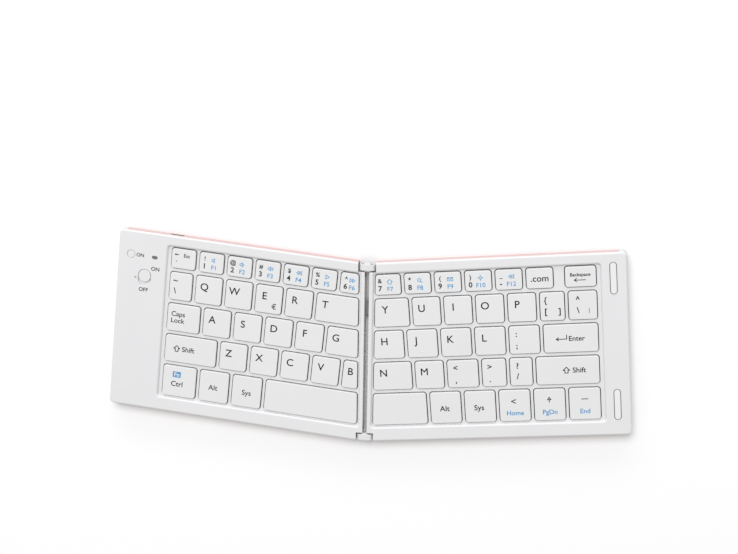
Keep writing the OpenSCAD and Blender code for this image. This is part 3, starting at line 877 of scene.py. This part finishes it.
for node in key_nodes:
    turn = row_frame(half_of(node))
    boxes = cap_boxes[node]
    box = boxes[0]
    x, y = middle_of(box)
    bm = bmesh.new()
    letter = node[len("key_"):].upper()
    if len(letter) == 1:
        right = letter_right.get(node, usual_right)
        bold = 0.0 if node == "key_m" else word_bold
        for strike in range(2 if node == "key_m" else 1):
            spot = from_corner(box, right + strike_shift * strike, letter_front)
            z = legend_z + strike_lift * strike
            print_words(bm, letter, spot, letter_height, turn, DARK, bold, z)
    if node == "key_e":
        spot = (box[2] - 0.0040, box[1] + 0.0042)
        print_words(bm, "€", spot, 0.0029, turn, DARK, word_bold)
    elif node == "key_caps_lock":
        for word, right, up in (("Caps", 0.0060, 0.0023), ("Lock", 0.0058, -0.0015)):
            spot = (box[0] + right, y + up)
            print_words(bm, word, spot, word_height, turn, DARK, light_bold)
    elif node == "key_ctrl":
        spot = (x - 0.0016, box[3] - 0.0048)
        z = legend_z + over_patch
        print_patch(bm, spot, (0.0046, 0.0034), turn, BLUE)
        print_words(bm, "Fn", spot, name_height, turn, PALE, small_bold, z)
        spot = (x - 0.0012, y - 0.0014)
        print_words(bm, "Ctrl", spot, 0.0029, turn, DARK, word_bold)
    elif node in ("key_left_shift", "key_right_shift"):
        on_left = node == "key_left_shift"
        arrow_x = box[0] + 0.0066 if on_left else box[2] - 0.0174
        word_x = box[0] + 0.0131 if on_left else box[2] - 0.0106
        bold = light_bold if on_left else word_bold
        y += 0.0002
        print_icon(bm, SHIFT_ARROW, (arrow_x, y), shift_arrow, stroke, turn, DARK)
        print_words(bm, "Shift", (word_x, y), shift_height, turn, DARK, bold)
    elif node == "key_enter":
        print_icon(bm, RETURN_ARROW, (box[0] + 0.0093, y), 0.0055, stroke, turn, DARK)
        print_words(bm, "Enter", (box[0] + 0.0173, y), word_height, turn, DARK, word_bold)
    elif node == "key_backspace":
        print_words(bm, "Backspace", (x - 0.0002, y + 0.0012), 0.0018, turn, DARK, word_bold)
        print_icon(bm, LEFT_ARROW, (x - 0.0004, y - 0.0018), 0.0058, arrow_stroke, turn, DARK)
    elif node == "left_number_keys":
        arrow_spot = from_corner(box, 0.0028, 0.0032)
        print_icon(bm, LEFT_ARROW, arrow_spot, 0.0018, stroke, turn, DARK)
        print_words(bm, "Esc", from_corner(box, 0.0084, 0.0034), 0.0019, turn, DARK, light_bold)
        print_words(bm, "`", from_corner(box, 0.0028, 0.0078), 0.0026, turn, DARK, word_bold)
        for cap, marks in zip(boxes[1:], LEFT_DIGITS):
            print_digit(bm, cap, turn, *marks)
    elif node == "right_number_keys":
        for cap, marks in zip(boxes, RIGHT_DIGITS):
            print_digit(bm, cap, turn, *marks)
        print_words(bm, ".com", middle_of(boxes[5]), 0.0034, turn, DARK, word_bold)
    elif node == "left_side_keys":
        print_pair(bm, boxes[0], turn, 0.0031, "~", "\\", 0.0101)
        for cap, word, move in zip(boxes[1:], ("Alt", "Sys"), (-0.0004, 0.0)):
            x, y = middle_of(cap)
            print_words(bm, word, (x + move, y - 0.0004), 0.0029, turn, DARK, light_bold)
    elif node == "right_symbol_keys":
        for cap, right, upper, lower, front in (
            (boxes[0], 0.0028, "{", "[", 0.0102),
            (boxes[1], 0.0048, "^", "\\", 0.0102),
            (boxes[2], 0.0038, ":", ";", 0.0108),
            (boxes[3], 0.0044, "<", ",", 0.0112),
            (boxes[4], 0.0040, ">", ".", 0.0112),
            (boxes[5], 0.0040, "?", "/", 0.0100),
        ):
            print_pair(bm, cap, turn, right, upper, lower, front)
        bracket_spot = from_corner(boxes[0], 0.0102, 0.0102)
        print_words(bm, "]", bracket_spot, sign_height, turn, DARK, sign_bold)
        print_words(bm, "|", from_corner(boxes[1], 0.0106, 0.0102), 0.0022, turn, DARK)
    elif node == "right_bottom_keys":
        for cap, word in zip(boxes, ("Alt", "Sys")):
            x, y = middle_of(cap)
            print_words(bm, word, (x - 0.0006, y - 0.0004), 0.0030, turn, DARK, word_bold)
        for cap, word in zip(boxes[2:], ("Home", "PgDn", "End")):
            x, y = middle_of(cap)
            print_words(bm, word, (x, y - 0.0041), 0.0026, turn, BLUE, word_bold)
        x, y = middle_of(boxes[2])
        print_words(bm, "<", (x - 0.0006, y + 0.0025), 0.0036, turn, DARK, word_bold)
        x, y = middle_of(boxes[3])
        print_icon(bm, UP_ARROW, (x - 0.0002, y + 0.0028), 0.0030, stroke, turn, DARK)
        x, y = middle_of(boxes[4])
        print_patch(bm, (x, y + 0.0028), (0.0036, stroke), turn, DARK)
    if len(bm.faces):
        finished("legend_" + node.replace("key_", ""), bm, node, inks)
    else:
        bm.free()

# ---------------------------------------------------------------------------
# Control panel: a round pairing button and an oval slide switch of white
# plastic and a smoked light pipe, set in the left frame, with printed words.
# ---------------------------------------------------------------------------
button_round = 0.00015
knob_round = 0.0002
pipe_round = 0.0001
mark_stroke = 0.00022
smoked_pipe = make_material(
    "smoked_pipe", (0.16, 0.165, 0.17), roughness=0.25, depth=0.000001, coat=0.3
)
for name, node, body, finish, slot, width, steps in (
    ("pairing_cap", "pairing_button", "pairing_button", white_moulding, "frame", button_round, 3),
    ("switch_knob", "power_switch", "power_switch", white_moulding, "frame", knob_round, 3),
    ("light_pipe", "status_light", "left_half", smoked_pipe, "light", pipe_round, 2),
):
    rounded_copy(name, node, body, [finish], width, steps)


def box_middle(node):
    """Middle of a node's box, in the left half's row coordinates."""
    low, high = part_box(node)
    return row_frame("left").inverted() @ ((Vector(low) + Vector(high)) / 2)


turn = row_frame("left")
face_print_z = face_z + print_lift
ring = box_middle("pairing_button")
knob = box_middle("power_switch")
bm = bmesh.new()
for words, spot, height in (
    ("ON", (ring.x + 0.0052, ring.y + 0.0001), 0.0019),
    ("ON", (knob.x + 0.0058, knob.y + 0.0046), 0.0021),
    ("OFF", (knob.x - 0.0002, knob.y - 0.0079), 0.0021),
):
    print_words(bm, words, spot, height, turn, GREY, word_bold, face_print_z)
mark = [[(1.0, 1.0), (0.0, 0.5), (1.0, 0.0)]]
mark_spot = (knob.x - 0.0051, knob.y - 0.0014)
print_icon(bm, mark, mark_spot, 0.0011, mark_stroke, turn, GREY, face_print_z)
finished("panel_print", bm, "left_half", inks)

# ---------------------------------------------------------------------------
# Hinge: two links of white plastic, each turning on two steel pins that stand
# in steel brackets fixed under the frames.
# ---------------------------------------------------------------------------
link_round = 0.0002
bracket_round = 0.0001
link_white = make_material(
    "link_white", (0.73, 0.73, 0.735), roughness=0.35, uneven=0.08, grain=0.0004
)
pin_steel = make_material(
    "pin_steel",
    (0.16, 0.16, 0.165),
    roughness=0.3,
    metallic=1.0,
    grain=0.00012,
    depth=0.000002,
)
rounded_copy("white_links", "hinge_links", "hinge_links", [link_white], link_round, 3)
for side in ("left", "right"):
    rounded_copy(
        side + "_pins_and_brackets",
        side + "_hinge_brackets",
        side + "_half",
        [pin_steel],
        bracket_round,
        1,
    )

# ---------------------------------------------------------------------------
# Flat cable: a strip of grey printed film from half to half, held under both
# frames. It lies high across the groove and dips toward its two ends.
# ---------------------------------------------------------------------------
grey_film = make_material(
    "grey_film",
    (0.30, 0.30, 0.31),
    roughness=0.3,
    grain=0.0005,
    depth=0.000001,
    coat=0.4,
)
flex_low, flex_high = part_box("flex_cable")
flex_steps = 60
flex_thickness = 0.0002
flat_reach = 0.0038
dip_reach = 0.0063
# distances from the groove's middle, listed in the table below but not used
bend_near = 0.0002
bend_far = 0.0014
middle_y = (flex_low[1] + flex_high[1]) / 2
for name, body_a, body_b, x0, x1, turn_from, turn_to in (
    ("flat_cable_left", "left_half", "hinge_links", flex_low[0], 0.0, -bend_far, -bend_near),
    ("flat_cable_right", "hinge_links", "right_half", 0.0, flex_high[0], bend_near, bend_far),
):
    bm = bmesh.new()
    bmesh.ops.create_grid(bm, x_segments=flex_steps, y_segments=4, size=0.5)
    place = Matrix.Translation(((x0 + x1) / 2, middle_y, 0))
    shape = place @ Matrix.Diagonal((x1 - x0, flex_high[1] - flex_low[1], 1, 1))
    bmesh.ops.transform(bm, matrix=shape, verts=bm.verts)
    for v in bm.verts:
        share = min(1, max(0, (dip_reach - abs(v.co.x)) / (dip_reach - flat_reach)))
        ease = share * share * (3 - 2 * share)
        v.co.z = flex_low[2] + ease * (flex_high[2] - flex_low[2] - flex_thickness)
    bmesh.ops.recalc_face_normals(bm, faces=bm.faces)
    sheet = bmesh.ops.extrude_face_region(bm, geom=list(bm.faces))
    lifted = [g for g in sheet["geom"] if isinstance(g, bmesh.types.BMVert)]
    bmesh.ops.translate(bm, verts=lifted, vec=(0, 0, flex_thickness))
    bmesh.ops.recalc_face_normals(bm, faces=bm.faces)
    piece = finished(name, bm, None, [grey_film], ["flex_cable"])
    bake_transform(piece)

# ---------------------------------------------------------------------------
# Feet and closing pads: soft white silicone ovals and strips, glued under the
# covers and into the right frame's end. Their rounded rims are grey, a painted
# shade that stands for the dark line round each pad.
pad_round = 0.0002
level_face = 0.97
upright_face = 0.05
silicone = make_material(
    "silicone",
    (0.80, 0.80, 0.80),
    roughness=0.6,
    uneven=0.05,
    grain=0.0004,
    depth=0.000003,
    specular=0.35,
)
# painted shade: a grey for the rounded rims, where a dark line shows round each pad
rubbed_silicone = make_material(
    "rubbed_silicone", (0.58, 0.58, 0.585), roughness=0.7, grain=0.0004, depth=0.000003
)
for node, body, slot in (
    ("left_feet", "left_half", "foot"),
    ("right_feet", "right_half", "foot"),
    ("closing_pads", "right_half", "pad"),
):
    bm = merged_copy(node)
    soften(bm, sharp_edges(bm), pad_round, 3)
    bm.normal_update()
    # painted shade: the rounded rims take the grey silicone
    for f in bm.faces:
        if upright_face < abs(f.normal.z) < level_face:
            f.material_index = 1
    finished("soft_" + node, bm, body, [silicone, rubbed_silicone], [node])

# ---------------------------------------------------------------------------
# Inside: steel key plates, contact sheets with their domes, the cell, the
# circuit board and the charging socket, whose mouth shows at the rear. The contact
# sheets are near-black, which also stands in as painted shade in the gaps round
# the keys. They are held between the frames and the covers and keep their plain shapes.
# ---------------------------------------------------------------------------
plate_steel = dict(color=(0.35, 0.35, 0.36), roughness=0.35, metallic=1.0, grain=0.0002)
# near-black: the sheets' colour also stands in as painted shade in the gaps round the keys
shade_dark_film = dict(color=(0.035, 0.035, 0.04), roughness=0.45, grain=0.0004)
inner_finishes = {
    "left_key_plate": plate_steel,
    "right_key_plate": plate_steel,
    "left_contact_sheet": shade_dark_film,
    "right_contact_sheet": shade_dark_film,
    "battery": dict(
        color=(0.60, 0.60, 0.62), roughness=0.35, metallic=0.9, grain=0.0006, depth=0.00001
    ),
    "circuit_board": dict(color=(0.02, 0.16, 0.07), roughness=0.35, grain=0.0003, coat=0.4),
    "charging_socket": dict(
        color=(0.60, 0.60, 0.61), roughness=0.25, metallic=1.0, grain=0.0002
    ),
}
for node, finish in inner_finishes.items():
    material = make_material(node + "_finish", **finish)
    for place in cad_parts[node].material_slots:
        place.material = material
